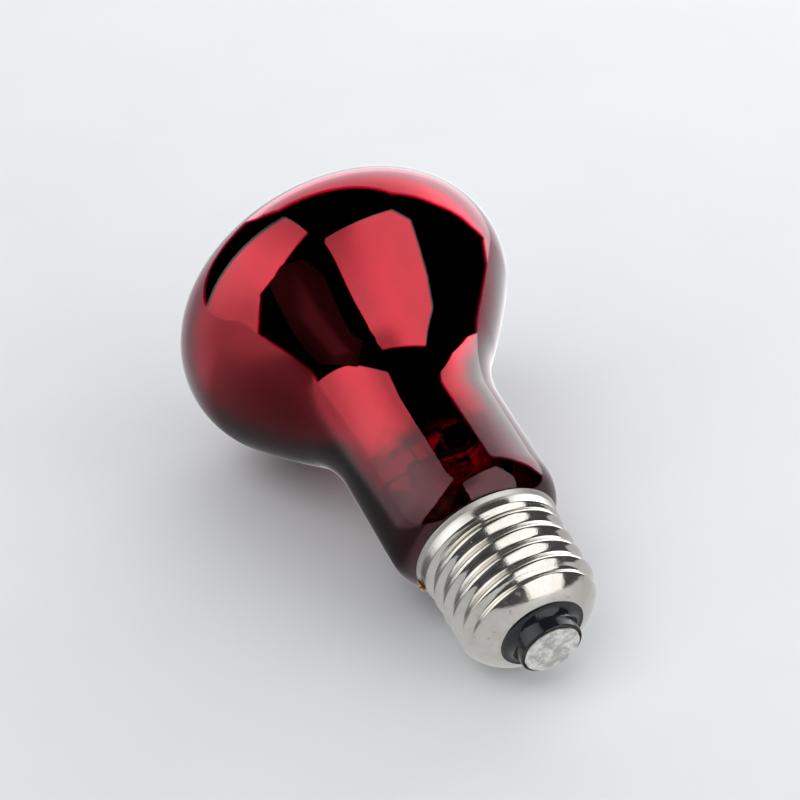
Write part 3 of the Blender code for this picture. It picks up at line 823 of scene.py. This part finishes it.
def add_panel(name, centre, azimuth, elevation, lean, corners, glow):
    """A flat lit panel of this outline. glow gives its strength across and up from its middle."""
    finish = new_finish(name, Base_Color=NO_LIGHT, Emission_Color=WHITE_LIGHT)
    split = put(finish, "SeparateXYZ", {"Vector": put(finish, "TexCoord", {}).outputs["Object"]})
    join(finish, "Emission Strength", glow(finish, split.outputs["X"], split.outputs["Y"]))
    sheet = bmesh.new()
    sheet.faces.new([sheet.verts.new((across, up, 0.0)) for across, up in corners])
    panel = add_stage(sheet, name, finish)
    stood = Matrix(((0, 0, 1, 0), (1, 0, 0, 0), (0, 1, 0, 0), (0, 0, 0, 1)))
    turned = Matrix.Rotation(math.radians(azimuth), 4, "Z")
    turned = turned @ Matrix.Rotation(math.radians(-elevation), 4, "Y")
    turned = turned @ Matrix.Rotation(math.radians(lean), 4, "X")
    panel.matrix_world = Matrix.Translation(centre) @ turned @ stood
    panel.visible_camera = False
    panel.visible_shadow = False
    return panel


def off_zero(finish, value):
    """How far a value is from zero, either way."""
    return put(finish, "Math", {0: value}, operation="ABSOLUTE").outputs[0]


def window_glow(finish, across, up):
    return spread(finish, off_zero(finish, up), 0.05, 0.58, 1.48, 0.90)


def middle_glow(finish, across, up):
    near_edge = spread(finish, across, 0.15, -0.3)
    corner = combined(finish, "MULTIPLY", spread(finish, up, 0.1, 0.6), near_edge)
    return spread(finish, corner, 0.0, 1.0, 1.45, 0.65)


def back_glow(finish, across, up):
    return spread(finish, up, 0.05, 0.65, 2.5, 1.1)


def dim_glow(finish, across, up):
    sideways = combined(finish, "MULTIPLY", off_zero(finish, across), 1.8)
    off_middle = combined(finish, "ADD", sideways, off_zero(finish, combined(finish, "ADD", up, -0.08)))
    return spread(finish, off_middle, 0.10, 0.26, 0.055, 0.0)


window = add_panel("window_panel", (0.214, 0.652, 0.442), 83.6, 27.1, 9.96, WINDOW, window_glow)
window.visible_diffuse = False
add_panel("middle_panel", (-0.724, -0.292, 0.374), 204.8, 47.9, -6.58, MIDDLE, middle_glow)
add_panel("back_panel", (0.679, -0.537, 0.155), -49.7, 32.3, -3.17, BACK, back_glow)
add_panel("dim_panel", (-0.558, 0.539, 0.234), 136.0, 15.0, 4.0, DIM, dim_glow)

for name, size, watts, azimuth, elevation, away in (
    ("overhead", 2.4, 14.0, 0.0, 90.0, 1.6),
    ("left_fill", 2.0, 25.0, 108.0, 48.0, 2.2),
    ("right_fill", 2.0, 13.0, -120.0, 32.0, 2.2),
):
    light = bpy.data.lights.new(name, "AREA")
    light.shape = "SQUARE"
    light.size = size
    light.energy = watts
    hung = bpy.data.objects.new(name, light)
    turned = Matrix.Rotation(math.radians(azimuth), 4, "Z")
    turned = turned @ Matrix.Rotation(math.radians(90.0 - elevation), 4, "Y")
    hung.matrix_world = turned @ Matrix.Translation((0.0, 0.0, away))
    hung.visible_camera = False
    hung.visible_glossy = False
    hung.visible_transmission = False
    bpy.context.scene.collection.objects.link(hung)

room = bpy.data.worlds.new("dark room")
room.use_nodes = True
room.node_tree.nodes["Background"].inputs["Color"].default_value = NO_LIGHT
bpy.context.scene.world = room

# -------------------------------------------------------------------------------------- camera
# A long lens looks down on the cap end from about 35 degrees above the table, so that the cap comes
# towards the viewer and the head of the bulb lies behind it.
CAMERA_PLACE = (-0.42829, 0.213, 0.35464)
CAMERA_TURN = (55.976, 0.323, -116.178)
FOCAL_LENGTH = 145.1

lens = bpy.data.cameras.new("camera")
lens.sensor_width = 36.0
lens.lens = FOCAL_LENGTH
lens.clip_start = 0.05
camera = bpy.data.objects.new("camera", lens)
camera.location = CAMERA_PLACE
camera.rotation_euler = [math.radians(angle) for angle in CAMERA_TURN]
bpy.context.scene.collection.objects.link(camera)
bpy.context.scene.camera = camera
bpy.context.scene.view_settings.view_transform = "Standard"
